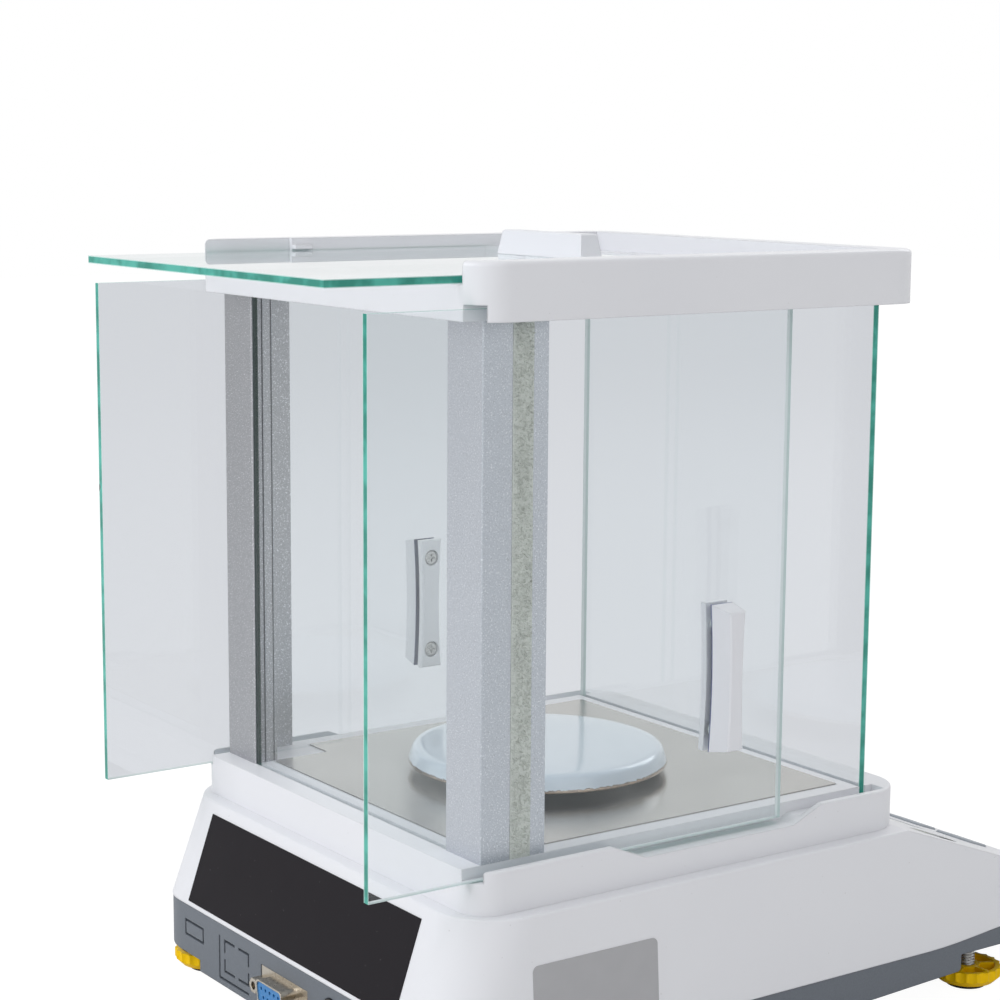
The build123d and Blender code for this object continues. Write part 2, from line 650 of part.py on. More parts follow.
# Electronics: main board across the rear, display board under the panel, module and window
with BuildPart() as main_board:
    block((-59.8, 71.8), (BOARD_Y, BOARD_Y + 1.6), (15.4, 48))
    block((-13, 13), (BOARD_Y - 3.5, BOARD_Y), (24, 42))
    block((28, 50), (BOARD_Y - 5.5, BOARD_Y), (22, 32))
    block((-50, -42), (BOARD_Y - 9, BOARD_Y), (30, 42))
main_board.part.label = "main_board"
export_step(main_board.part, "parts/main_board.step")
with BuildPart() as display_board:
    with BuildSketch(panel.offset(-13.6)):
        Rectangle(128, 84)
    extrude(amount=1.6)
    with BuildSketch(panel.offset(-12.0)):
        with Locations(*key_places):
            Rectangle(6, 6)
    extrude(amount=4.0)
display_board.part.label = "display_board"
export_step(display_board.part, "parts/display_board.step")
with BuildPart() as lcd_module:
    with BuildSketch(panel.offset(-8.0)):
        with Locations((0, WINDOW_Y)):
            Rectangle(108, 33)
    extrude(amount=5.0)
    with BuildSketch(panel.offset(-12.0)):
        with Locations((0, WINDOW_Y + 14.5), (0, WINDOW_Y - 14.5)):
            Rectangle(96, 2)
    extrude(amount=4.0)
lcd_module.part.label = "lcd_module"
export_step(lcd_module.part, "parts/lcd_module.step")
with BuildPart() as display_window:
    with BuildSketch(panel.offset(-1.5)):
        with Locations((0, WINDOW_Y)):
            RectangleRounded(WINDOW_L - 0.1, WINDOW_W - 0.1, 2.95)
    extrude(amount=1.45)
display_window.part.label = "display_window"
export_step(display_window.part, "parts/display_window.step")


def key(place):
    """One push key: cap through the panel, flange under it, stem down to the switch."""
    with BuildPart() as cap:
        with BuildSketch(panel.offset(-2.7)):
            with Locations(place):
                RectangleRounded(KEY_L, KEY_W, 2.3)
        extrude(amount=3.5)
        chamfer(cap.faces().sort_by(lambda f: f.center().Z - f.center().Y)[-1].edges(), 0.4)
        with BuildSketch(panel.offset(-3.7)):
            with Locations(place):
                RectangleRounded(KEY_L + 2.6, KEY_W + 2.6, 3)
        extrude(amount=1.0)
        with BuildSketch(panel.offset(-7.0)):
            with Locations(place):
                Rectangle(4.4, 4.4)
        extrude(amount=3.4)
    return cap.part


for name, place in zip(key_names, key_places):
    one_key = key(place)
    one_key.label = f"key_{name}"
    export_step(one_key, f"parts/key_{name}.step")

# Bubble level
with BuildPart() as level_housing:
    rod(LEVEL_X, LEVEL_Y, (42, 51.2), LEVEL_R)
    rod(LEVEL_X, LEVEL_Y, (45, 60), LEVEL_R - 1.6, Mode.SUBTRACT)
level_housing.part.label = "level_housing"
export_step(level_housing.part, "parts/level_housing.step")
with BuildPart() as level_vial:
    rod(LEVEL_X, LEVEL_Y, (45, 50.6), LEVEL_R - 1.65)
level_vial.part.label = "level_vial"
export_step(level_vial.part, "parts/level_vial.step")

# Serial port: shell, insulator and jackscrews, and the power jack
def d_outline(width, height, at_z):
    """The D-shaped outline of the plug, in the rear panel's plane."""
    with BuildSketch(rear_plane) as shape:
        with Locations((0, at_z)):
            Trapezoid(width, height, 80, rotation=180)
        fillet(shape.vertices(), 1.6)
    return shape.sketch


with BuildPart() as serial_shell:
    block((-15.1, 15.1), (126.9, 127.7), (SERIAL_Z - 5.5, SERIAL_Z + 5.5))
    extrude(d_outline(17.4, 8.3, SERIAL_Z), amount=5.9)
    extrude(d_outline(17.4, 8.3, SERIAL_Z), amount=-0.6)
    extrude(d_outline(16.4, 7.3, SERIAL_Z), amount=12, both=True, mode=Mode.SUBTRACT)
    for x in (-JACKSCREW_X, JACKSCREW_X):
        with Locations(Location((x, 127, SERIAL_Z), (90, 0, 0))):
            Cylinder(1.65, 8, mode=Mode.SUBTRACT)
serial_shell.part.label = "serial_shell"
export_step(serial_shell.part, "parts/serial_shell.step")
with BuildPart() as serial_insulator:
    extrude(d_outline(16.3, 7.2, SERIAL_Z), amount=5.4)
    extrude(d_outline(16.3, 7.2, SERIAL_Z), amount=-1.2)
    block((-15.0, 15.0), (BOARD_Y + 1.6, 126.9), (SERIAL_Z - 5.3, SERIAL_Z + 5.3))
    with BuildSketch(rear_plane.offset(5.4)):
        for i in range(5):
            with Locations(((i - 2) * 2.77, SERIAL_Z + 1.4)):
                Circle(0.6)
        for i in range(4):
            with Locations(((i - 1.5) * 2.77, SERIAL_Z - 1.4)):
                Circle(0.6)
    extrude(amount=-4, mode=Mode.SUBTRACT)
    for x in (-JACKSCREW_X, JACKSCREW_X):
        with Locations(Location((x, 123, SERIAL_Z), (90, 0, 0))):
            Cylinder(1.65, 8.1, mode=Mode.SUBTRACT)
serial_insulator.part.label = "serial_insulator"
export_step(serial_insulator.part, "parts/serial_insulator.step")
with BuildPart() as serial_jackscrews:
    for x in (-JACKSCREW_X, JACKSCREW_X):
        with BuildSketch(rear_plane.offset(-0.2)):
            with Locations((x, SERIAL_Z)):
                RegularPolygon(2.75, 6)
        extrude(amount=4.8)
        with BuildSketch(rear_plane.offset(-8)):
            with Locations((x, SERIAL_Z)):
                Circle(1.55)
        extrude(amount=7.8)
        with BuildSketch(rear_plane.offset(4.6)):
            with Locations((x, SERIAL_Z)):
                Circle(1.4)
        extrude(amount=-3, mode=Mode.SUBTRACT)
serial_jackscrews.part.label = "serial_jackscrews"
export_step(serial_jackscrews.part, "parts/serial_jackscrews.step")
with BuildPart() as dc_jack:
    with BuildSketch(rear_plane.offset(0.5)):
        with Locations((-POWER_X, POWER_Z)):
            Circle(5.6)
    extrude(amount=-4)
    block((POWER_X - 6, POWER_X + 6), (BOARD_Y + 1.6, TRAY_REAR - 3), (POWER_Z - 6, POWER_Z + 6))
    with BuildSketch(rear_plane.offset(0.5)):
        with Locations((-POWER_X, POWER_Z)):
            Circle(3.1)
            Circle(1.0, mode=Mode.SUBTRACT)
    extrude(amount=-9, mode=Mode.SUBTRACT)
dc_jack.part.label = "dc_jack"
export_step(dc_jack.part, "parts/dc_jack.step")

# Thin trim: black film on the sloping rear face, blank plate on the near side
rear_face = Plane(
    origin=(0, LEDGE_REAR + (LEDGE_Z - 46.85) * rear_slope, 46.85),
    x_dir=(-1, 0, 0),
    z_dir=(0, cos(radians(REAR_ANGLE)), sin(radians(REAR_ANGLE))),
)
with BuildPart() as rear_film:
    with BuildSketch(rear_face):
        Rectangle(134.4, 31.5)
    extrude(amount=0.25)
rear_film.part.label = "rear_film"
export_step(rear_film.part, "parts/rear_film.step")
plate_half = LEDGE_HALF + (LEDGE_Z - 38.0) * tan(radians(side_lean))
side_face = Plane(
    origin=(-plate_half, 71.0, 38.0),
    x_dir=(0, -1, 0),
    z_dir=(-cos(radians(side_lean)), 0, sin(radians(side_lean))),
)
with BuildPart() as rating_plate:
    with BuildSketch(side_face):
        RectangleRounded(48.2, 24.0, 2.0)
    extrude(amount=0.2)
rating_plate.part.label = "rating_plate"
export_step(rating_plate.part, "parts/rating_plate.step")

# Feet: rubber pad, fluted wheel, threaded stud; brass inserts in the tray
with BuildPart() as stud_inserts:
    for x, y in foot_places:
        under = (NOSE_UNDERSIDE_Z if y < 0 else NOTCH_Z) + 0.2
        rod(x, y, (under, under + 10), 4.5)
        rod(x, y, (under, under + 10), 3.06, Mode.SUBTRACT)
stud_inserts.part.label = "stud_inserts"
export_step(stud_inserts.part, "parts/stud_inserts.step")

with BuildPart() as wheel_form:
    rod(0, 0, (PAD_H + 0.1, PAD_H + 0.1 + WHEEL_H), WHEEL_R)
    chamfer(wheel_form.faces().sort_by(Axis.Z)[0].edges(), 2.4)
    with PolarLocations(WHEEL_R + 2.0, FLUTES):
        Cylinder(2.7, 40, mode=Mode.SUBTRACT)
    with BuildSketch(Plane.XY.offset(PAD_H + 0.1 + WHEEL_H)):
        Circle(10.2)
        Circle(4.8, mode=Mode.SUBTRACT)
        with PolarLocations(7.5, 6):
            Rectangle(7, 1.3, mode=Mode.SUBTRACT)
    extrude(amount=-4.2, mode=Mode.SUBTRACT)
    rod(0, 0, (0, 20), STUD_R, Mode.SUBTRACT)
with BuildPart() as stud_form:
    rod(0, 0, (PAD_H + 0.1, STUD_TOP_Z), STUD_R)
    chamfer(stud_form.faces().sort_by(Axis.Z)[-1].edges(), 0.6)
    rod(0, 0, (PAD_H, PAD_H + 3.0), 1.56, Mode.SUBTRACT)
with BuildPart() as pad_form:
    rod(0, 0, (0, PAD_H), PAD_R)
    chamfer(pad_form.faces().sort_by(Axis.Z)[0].edges(), 0.5)
    rod(0, 0, (PAD_H, PAD_H + 2.7), 1.5)
for name, (x, y) in zip(foot_names, foot_places):
    here = Location((x, y, 0))
    wheel = wheel_form.part.moved(here)
    wheel.label = f"foot_wheel_{name}"
    export_step(wheel, f"parts/foot_wheel_{name}.step")
    stud = stud_form.part.moved(here)
    stud.label = f"foot_stud_{name}"
    export_step(stud, f"parts/foot_stud_{name}.step")
    pad = pad_form.part.moved(here)
    pad.label = f"foot_pad_{name}"
    export_step(pad, f"parts/foot_pad_{name}.step")

# Doors: a pane with two holes, an outer grip, an inner plate and two screws. Each handle is
# built lying along X with its grip upwards, the pane's outer face at Z = 0.
with BuildPart() as grip_form:
    for level, length, width, waist in (
        (0.0, HANDLE_L, HANDLE_W, HANDLE_WAIST), (GRIP_H, GRIP_L, GRIP_W, GRIP_W - 1.2),
    ):
        with BuildSketch(Plane.XY.offset(level)):
            with BuildLine():
                Line((-length / 2, -width / 2), (-length / 2, width / 2))
                ThreePointArc((-length / 2, width / 2), (0, waist / 2), (length / 2, width / 2))
                Line((length / 2, width / 2), (length / 2, -width / 2))
                ThreePointArc((length / 2, -width / 2), (0, -waist / 2), (-length / 2, -width / 2))
            make_face()
    loft()
    chamfer(grip_form.faces().sort_by(Axis.Z)[-1].edges(), 0.5)
    for x in (-HANDLE_SCREW_PITCH / 2, HANDLE_SCREW_PITCH / 2):
        rod(x, 0, (-1, 5.5), 1.56, Mode.SUBTRACT)
with BuildPart() as back_plate_form:
    with BuildSketch(Plane.XY.offset(-GLASS_T - BACK_PLATE_T)):
        with BuildLine():
            Line((-24.25, -4.5), (-24.25, 4.5))
            ThreePointArc((-24.25, 4.5), (0, 3.6), (24.25, 4.5))
            Line((24.25, 4.5), (24.25, -4.5))
            ThreePointArc((24.25, -4.5), (0, -3.6), (-24.25, -4.5))
        make_face()
    extrude(amount=BACK_PLATE_T)
    chamfer(back_plate_form.faces().sort_by(Axis.Z)[0].edges(), 0.5)
    for x in (-HANDLE_SCREW_PITCH / 2, HANDLE_SCREW_PITCH / 2):
        rod(x, 0, (-10, 0), 1.7, Mode.SUBTRACT)
        rod(x, 0, (-10, -GLASS_T - 1.2), 3.0, Mode.SUBTRACT)
handle_screw = pan_head_screw(1.5, 2.7, 1.4, 8)
with BuildPart() as screw_pair_form:
    for x in (-HANDLE_SCREW_PITCH / 2, HANDLE_SCREW_PITCH / 2):
        add(Location((x, 0, -GLASS_T - 1.2), (180, 0, 0)) * handle_screw)

left_pane_y = LEFT_DOOR_REAR - DOOR_LENGTH / 2
right_pane_y = RIGHT_DOOR_REAR - DOOR_LENGTH / 2
handle_planes = {
    "left": Plane(
        origin=(-DOOR_X - half_t, LEFT_DOOR_REAR - HANDLE_TO_REAR, LEFT_HANDLE_Z),
        x_dir=(0, 0, 1), z_dir=(-1, 0, 0),
    ),
    "right": Plane(
        origin=(DOOR_X + half_t, RIGHT_DOOR_REAR - HANDLE_TO_REAR, RIGHT_HANDLE_Z),
        x_dir=(0, 0, 1), z_dir=(1, 0, 0),
    ),
    "top": Plane(
        origin=(0, TOP_HANDLE_Y, TOP_PANE_Z + GLASS_T), x_dir=(1, 0, 0), z_dir=(0, 0, 1)
    ),
}
pane_boxes = {
    "left": ((-DOOR_X - half_t, -DOOR_X + half_t), left_pane_y, DOOR_LENGTH, DOOR_Z),
    "right": ((DOOR_X - half_t, DOOR_X + half_t), right_pane_y, DOOR_LENGTH, DOOR_Z),
    "top": ((-TOP_PANE_HALF, TOP_PANE_HALF), TOP_PANE_REAR - TOP_PANE_LENGTH / 2,
            TOP_PANE_LENGTH, (TOP_PANE_Z, TOP_PANE_Z + GLASS_T)),
}
for name, at in handle_planes.items():
    x_span, middle_y, length, z_span = pane_boxes[name]
    with BuildPart() as pane:
        block(x_span, (middle_y - length / 2, middle_y + length / 2), z_span)
        for u in (-HANDLE_SCREW_PITCH / 2, HANDLE_SCREW_PITCH / 2):
            with Locations(at.location * Location((u, 0, 0))):
                Cylinder(2.5, 4 * GLASS_T, mode=Mode.SUBTRACT)
    pane.part.label = f"{name}_door_glass"
    export_step(pane.part, f"parts/{name}_door_glass.step")
    grip = grip_form.part.moved(at.location)
    grip.label = f"{name}_handle_grip"
    export_step(grip, f"parts/{name}_handle_grip.step")
    back_plate = back_plate_form.part.moved(at.location)
    back_plate.label = f"{name}_handle_plate"
    export_step(back_plate, f"parts/{name}_handle_plate.step")
    screw_pair = screw_pair_form.part.moved(at.location)
    screw_pair.label = f"{name}_handle_screws"
    export_step(screw_pair, f"parts/{name}_handle_screws.step")
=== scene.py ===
import bmesh
import bpy
from math import cos, pi, radians, sin
from mathutils import Matrix, Vector


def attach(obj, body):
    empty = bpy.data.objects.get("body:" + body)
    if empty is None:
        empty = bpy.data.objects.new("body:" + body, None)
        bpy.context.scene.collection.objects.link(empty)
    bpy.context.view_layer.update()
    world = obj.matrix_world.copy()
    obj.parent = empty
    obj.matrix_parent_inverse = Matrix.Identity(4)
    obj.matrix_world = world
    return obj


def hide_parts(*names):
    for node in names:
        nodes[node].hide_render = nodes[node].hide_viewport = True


# Dressing of the precision balance: finishes on the moulded, turned and glass pieces, and the
# small pieces that a maker adds last. Metres, in the same frame as the solids.
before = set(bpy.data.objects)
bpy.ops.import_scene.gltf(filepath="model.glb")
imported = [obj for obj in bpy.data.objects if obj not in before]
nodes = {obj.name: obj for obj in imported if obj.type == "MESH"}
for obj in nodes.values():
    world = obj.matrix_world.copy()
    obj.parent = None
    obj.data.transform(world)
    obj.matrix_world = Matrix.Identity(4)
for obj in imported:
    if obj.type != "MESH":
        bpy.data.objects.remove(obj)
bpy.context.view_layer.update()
MM = 0.001
HEAD_ON = 0.04  # share of light that glass and acrylic reflect when met square on


# Finishes are written as expressions: a Socket adds the nodes that its operators need.
class Socket:
    def __init__(self, shader, output):
        self.shader = shader
        self.output = output

    def maths(self, operation, *others):
        return self.shader.node("ShaderNodeMath", {"operation": operation}, [self, *others])

    def __add__(self, other):
        return self.maths("ADD", other)

    __radd__ = __add__

    def __mul__(self, other):
        return self.maths("MULTIPLY", other)

    __rmul__ = __mul__

    def __sub__(self, other):
        return self.maths("SUBTRACT", other)

    def __rsub__(self, other):
        return self.shader.node("ShaderNodeMath", {"operation": "SUBTRACT"}, [other, self])

    def __pow__(self, other):
        return self.maths("POWER", other)

    def __abs__(self):
        return self.maths("ABSOLUTE")

    def step(self, low, high):
        """A soft step from 0 at low to 1 at high."""
        return self.shader.node(
            "ShaderNodeMapRange", {"interpolation_type": "SMOOTHSTEP"}, [self, low, high, 0.0, 1.0]
        )


class Shader:
    """A node tree whose nodes are added by one method."""

    def __init__(self, tree, end):
        self.tree = tree
        self.tree.nodes.clear()
        self.end = self.tree.nodes.new(end)

    def node(self, kind, settings=None, values=(), out=0):
        made = self.tree.nodes.new(kind)
        for key, value in (settings or {}).items():
            setattr(made, key, value)
        pairs = values.items() if isinstance(values, dict) else enumerate(values)
        for key, value in pairs:
            if isinstance(value, Socket):
                self.tree.links.new(value.output, made.inputs[key])
            elif value is not None:
                made.inputs[key].default_value = value
        return Socket(self, made.outputs[out])

    def surface(self, shader):
        self.tree.links.new(shader.output, self.end.inputs["Surface"])


class Finish(Shader):
    """One material, built from its nodes and given to the pieces that wear it."""

    def __init__(self, name):
        self.material = bpy.data.materials.new(name)
        self.material.use_nodes = True
        super().__init__(self.material.node_tree, "ShaderNodeOutputMaterial")
        self.place = self.node("ShaderNodeTexCoord", out="Object")

    def axis(self, name, of=None):
        return self.node("ShaderNodeSeparateXYZ", values=[of or self.place], out=name)

    def noise(self, size_mm, detail=2.0, stretch=(1, 1, 1)):
        """Smooth noise whose grain is about size_mm across, longer along a stretched axis."""
        where = self.node("ShaderNodeMapping", values={
            "Vector": self.place, "Scale": tuple(1.0 / s for s in stretch)})
        return self.node("ShaderNodeTexNoise", values={
            "Vector": where, "Scale": 1.0 / (size_mm * MM), "Detail": detail})

    def distance(self, point, along=(1, 1, 1)):
        """Distance from a point, in metres, counted only along the named axes."""
        offset = self.node("ShaderNodeVectorMath", {"operation": "SUBTRACT"},
                           [self.place, Vector(point)])
        flat = self.node("ShaderNodeVectorMath", {"operation": "MULTIPLY"}, [offset, along])
        return self.node("ShaderNodeVectorMath", {"operation": "LENGTH"}, [flat], out="Value")

    def blend(self, amount, first, second):
        """Colour first where amount is 0, colour second where it is 1."""
        return self.node(
            "ShaderNodeMix", {"data_type": "RGBA"},
            {0: amount, 6: first if isinstance(first, Socket) else (*first, 1.0),
             7: second if isinstance(second, Socket) else (*second, 1.0)}, out=2,
        )

    def bump(self, height, depth_mm, strength=1.0, over=None):
        return self.node("ShaderNodeBump", values={
            "Strength": strength, "Distance": depth_mm * MM, "Height": height, "Normal": over})

    def soft_edges(self, radius_mm):
        return self.node("ShaderNodeBevel", {"samples": 6}, [radius_mm * MM])

    def principled(self, colour, **sockets):
        names = {"roughness": "Roughness", "metallic": "Metallic", "coat": "Coat Weight",
                 "coat_roughness": "Coat Roughness", "normal": "Normal",
                 "glow": "Emission Color", "glow_strength": "Emission Strength",
                 "specular": "Specular IOR Level", "sheen": "Sheen Weight"}
        values = {"Base Color": colour if isinstance(colour, Socket) else (*colour, 1.0)}
        for key, value in sockets.items():
            values[names[key]] = (*value, 1.0) if isinstance(value, tuple) else value
        return self.node("ShaderNodeBsdfPrincipled", values=values)

    def mix(self, amount, first, second):
        return self.node("ShaderNodeMixShader", values=[amount, first, second])

    def clear_body(self, through, reflected, roughness):
        """Clear, and more of a mirror towards the grazing angle."""
        facing = self.node("ShaderNodeLayerWeight", values=[0.5], out="Facing")
        clear = self.node("ShaderNodeBsdfTransparent", values=[(*through, 1.0)])
        shine = self.principled(reflected, metallic=1.0, roughness=roughness)
        return self.mix(HEAD_ON + (1.0 - HEAD_ON) * facing ** 5.0, clear, shine)

    def wear(self, *names):
        for name in names:
            piece = nodes[name] if isinstance(name, str) else name
            piece.data.materials.clear()
            piece.data.materials.append(self.material)
        return self


# Camera at the photograph's viewpoint
def look_from(place, yaw, pitch, roll, lens):
    yaw, pitch, roll = radians(yaw), radians(pitch), radians(roll)
    ahead = Vector((cos(yaw) * cos(pitch), sin(yaw) * cos(pitch), -sin(pitch)))
    level = Vector((sin(yaw), -cos(yaw), 0.0))
    over = level.cross(ahead)
    right = cos(roll) * level + sin(roll) * over
    up = -sin(roll) * level + cos(roll) * over
    data = bpy.data.cameras.new("viewpoint")
    data.sensor_width = 36.0
    data.lens = lens
    data.clip_start = 0.02
    data.clip_end = 20.0
    camera = bpy.data.objects.new("viewpoint", data)
    camera.matrix_world = Matrix.Translation(place) @ Matrix(
        (right, up, -ahead)).transposed().to_4x4()
    bpy.context.scene.collection.objects.link(camera)
    bpy.context.scene.camera = camera


look_from((-0.63693, 0.48960, 0.29699), yaw=-35.08, pitch=8.82, roll=0.39, lens=83.42)


# Studio: white surroundings, a large soft lamp over the rear, weaker ones at the near side
# and over the front
def soft_lamp(name, place, target, size, power):
    data = bpy.data.lights.new(name, "AREA")
    data.shape = "RECTANGLE"
    data.size, data.size_y = size
    data.energy = power
    data.color = (0.96, 0.975, 1.0)
    lamp = bpy.data.objects.new(name, data)
    lamp.location = place
    lamp.rotation_euler = (Vector(target) - Vector(place)).to_track_quat("-Z", "Y").to_euler()
    bpy.context.scene.collection.objects.link(lamp)


soft_lamp("rear_softbox", (0.15, 1.35, 1.1), (0, 0, 0.12), (1.1, 0.9), 12.6)
soft_lamp("near_softbox", (-1.4, 0.1, 0.9), (0, 0, 0.12), (0.9, 0.9), 2.0)
soft_lamp("front_softbox", (0.5, -1.4, 1.1), (0, 0, 0.12), (0.9, 0.7), 4.5)

world = bpy.data.worlds.new("studio")
world.use_nodes = True
bpy.context.scene.world = world
bpy.context.scene.view_settings.view_transform = "Standard"
sky = Shader(world.node_tree, "ShaderNodeOutputWorld")
LIGHT_PATH = "ShaderNodeLightPath"
# Colour of the white surroundings where a pane stands before them
GLASS_TINT = (0.945, 0.953, 1.0, 1.0)
seen = sky.node(LIGHT_PATH, out="Is Camera Ray").maths(
    "MAXIMUM", sky.node(LIGHT_PATH, out="Is Transmission Ray"))
through_glass = sky.node(LIGHT_PATH, out="Transparent Depth").maths("MINIMUM", 1.0)
glossy = sky.node(LIGHT_PATH, out="Is Glossy Ray")
toward = sky.node("ShaderNodeTexCoord", out="Generated")
to_side = sky.node("ShaderNodeSeparateXYZ", values=[toward], out="X").step(0.55, 0.98)
to_rear = sky.node("ShaderNodeSeparateXYZ", values=[toward], out="Y").step(0.05, 0.40)
strength = (0.55 + seen * (0.45 - 0.20 * through_glass)
            + glossy * (0.42 - 0.36 * to_side * to_rear))
cool = sky.node("ShaderNodeMix", {"data_type": "RGBA"}, {
    0: through_glass * seen, 6: (1.0, 1.0, 1.0, 1.0), 7: GLASS_TINT}, out=2)
sky.surface(sky.node("ShaderNodeBackground", values=[cool, strength]))

floor_mesh = bpy.data.meshes.new("bench")
floor_mesh.from_pydata([(-4, -4, 0), (4, -4, 0), (4, 4, 0), (-4, 4, 0)], [], [(0, 1, 2, 3)])
bench = bpy.data.objects.new("bench", floor_mesh)
bpy.context.scene.collection.objects.link(bench)
bench_finish = Finish("bench_white")
bench_seen = bench_finish.node(LIGHT_PATH, out="Is Camera Ray")
bench_glass = bench_finish.node(LIGHT_PATH, out="Transparent Depth").maths("MINIMUM", 1.0)
bench_tone = bench_finish.blend(bench_glass, (1.0, 1.0, 1.0), GLASS_TINT[:3])
bench_light = bench_finish.node(
    "ShaderNodeEmission", values=[bench_tone, 1.12 - 0.34 * bench_glass])
bench_matt = bench_finish.node("ShaderNodeBsdfDiffuse", values=[(0.92, 0.92, 0.92, 1.0)])
bench_finish.surface(bench_finish.mix(bench_seen * 0.86, bench_matt, bench_light))
bench_finish.wear(bench)

# White moulded housing and frame
white = Finish("white_moulding")
grain = white.noise(0.45, 3.0)
cloud = white.noise(60.0, 2.0)
dirt = white.noise(1.1, 1.0).step(0.795, 0.82)
white.surface(white.principled(
    white.blend(dirt * 0.35, white.blend(cloud, (0.785, 0.79, 0.825), (0.82, 0.825, 0.855)),
                (0.42, 0.40, 0.38)),
    roughness=0.30 + 0.10 * grain, specular=0.42,
    normal=white.bump(grain, 0.012, 0.5, white.soft_edges(0.7))))
white.wear("upper_housing", "top_frame")


# Grips and inner plates: white, the grips with a thin blue gasket line against the pane
def handle_finish(name, axis_name, glass_face, outward, gasket, tone=(0.80, 0.81, 0.85)):
    made = Finish(name)
    fine = made.noise(0.4, 2.0)
    away = (made.axis(axis_name) - glass_face) * outward
    line = (1.0 - away.step(0.30 * MM, 0.40 * MM)) * gasket
    made.surface(made.principled(
        made.blend(line, tone, (0.10, 0.13, 0.30)),
        roughness=0.30 + 0.08 * fine, normal=made.bump(fine, 0.008, 0.4, made.soft_edges(0.5))))
    return made


for side, axis_name, face, outward in (
    ("left", "X", -83.2 * MM, -1.0), ("right", "X", 83.2 * MM, 1.0), ("top", "Z", 258.2 * MM, 1.0),
):
    gasket = 0.0 if side == "top" else 1.0
    handle_finish(f"{side}_grip_white", axis_name, face, outward, gasket).wear(
        f"{side}_handle_grip")
    inner = face - outward * 2.5 * MM
    # The inner plates wear a lighter white than the grips: painted light, making up for the shade
    # they stand in inside the chamber
    handle_finish(f"{side}_plate_painted_lit_white", axis_name, inner, -outward, 0.0,
                  (0.93, 0.94, 0.97)).wear(f"{side}_handle_plate")

# Grey tray
grey = Finish("grey_spark_texture")
spark = grey.noise(0.55, 3.0)
grey.surface(grey.principled(
    grey.blend(spark, (0.115, 0.130, 0.155), (0.165, 0.185, 0.212)),
    roughness=0.42 + 0.12 * spark, normal=grey.bump(spark, 0.03, 0.6, grey.soft_edges(0.6))))
grey.wear("lower_housing")

# Satin steel floor of the chamber, rolled along the depth
steel = Finish("satin_rolled_steel")
brush = steel.noise(0.25, 3.0, stretch=(1, 60, 1))
stain = steel.noise(35.0, 3.0)
steel.surface(steel.principled(
    steel.blend(stain, (0.39, 0.38, 0.365), (0.50, 0.49, 0.475)),
    metallic=1.0, roughness=0.20 + 0.10 * brush, normal=steel.bump(brush, 0.004, 0.4)))
steel.wear("floor_plate")


# Bead-blasted aluminium with fine sparkle
def blasted_finish(name, low, high, pieces):
    made = Finish(name)
    bead = made.noise(0.42, 2.0)
    glint = made.noise(0.50, 1.0).step(0.58, 0.70)
    pit = made.noise(0.46, 1.0).step(0.64, 0.76)
    base = made.blend(pit * 0.5, made.blend(bead, low, high), (0.22, 0.22, 0.24))
    made.surface(made.principled(
        made.blend(glint * 0.7, base, (0.93, 0.93, 0.96)),
        metallic=1.0, roughness=0.44 - 0.16 * glint, normal=made.bump(bead, 0.045, 0.8)))
    return made.wear(*pieces)


# The near pillar and the load cell wear a lighter copy, and the far pillar a darker copy, of the
# same aluminium: painted light and painted shade for how the light falls on each
blasted_finish("bead_blasted_near_painted_lit", (0.44, 0.46, 0.505), (0.72, 0.74, 0.79),
               ["rear_pillar_left", "load_cell"])
blasted_finish("bead_blasted_far_painted_shade", (0.32, 0.32, 0.34), (0.58, 0.585, 0.61),
               ["rear_pillar_right"])

cast = Finish("cast_aluminium")
skin = cast.noise(1.2, 3.0)
cast.surface(cast.principled(
    cast.blend(skin, (0.42, 0.43, 0.44), (0.58, 0.585, 0.59)), metallic=1.0,
    roughness=0.42 + 0.15 * skin, normal=cast.bump(skin, 0.05, 0.6)))
cast.wear("cell_base", "pan_carrier")


# Clear panes: a mirror by the grazing angle over a clear body. A cut edge is green where it is met
# from outside, with a pale line along each arris and a faint painted green glow. Where it is met
# from within it is painted in two tones with a faint glow: a painted reflection of what lies
# beyond.
def pane_finish(name, thickness_axis, middle_mm, half_mm, inner_painted_reflection, chip_at=None):
    made = Finish(name)
    face = made.clear_body((0.972, 0.982, 0.985), (0.93, 0.96, 0.97), 0.0)
    across = abs(made.axis(thickness_axis, made.node("ShaderNodeNewGeometry", out="Normal")))
    edge = 1.0 - across.step(0.4, 0.6)
    off_middle = made.axis(thickness_axis) - middle_mm * MM
    arris = abs(off_middle).step((half_mm - 0.35) * MM, (half_mm - 0.20) * MM)
    streak = made.noise(9.0, 3.0)
    green = made.blend(streak.step(0.35, 0.65), (0.015, 0.20, 0.155), (0.07, 0.40, 0.33))
    tone = made.blend(arris * 0.75, green, (0.62, 0.80, 0.77))
    if chip_at:
        chip = made.distance(chip_at) + (made.noise(1.2, 2.0) - 0.5) * 1.5 * MM
        tone = made.blend(1.0 - chip.step(0.9 * MM, 1.3 * MM), tone, (0.05, 0.06, 0.07))
    # The green outside of the edge also glows faintly: a painted glow, though the glass is no lamp
    outside = made.principled(tone, roughness=0.15, glow=(0.02, 0.20, 0.15), glow_strength=0.25)
    half = off_middle.step(-0.1 * MM, 0.1 * MM)
    # From within, the edge is painted in two tones with a faint glow: a painted reflection of the
    # surroundings seen through the pane
    inside = made.principled(
        made.blend(half, *inner_painted_reflection), roughness=0.25, glow=(0.5, 0.6, 0.6),
        glow_strength=0.05)
    within = made.node("ShaderNodeNewGeometry", out="Backfacing")
    cut = made.mix(within, outside, inside)
    made.surface(made.mix(edge, face, cut))
    return made


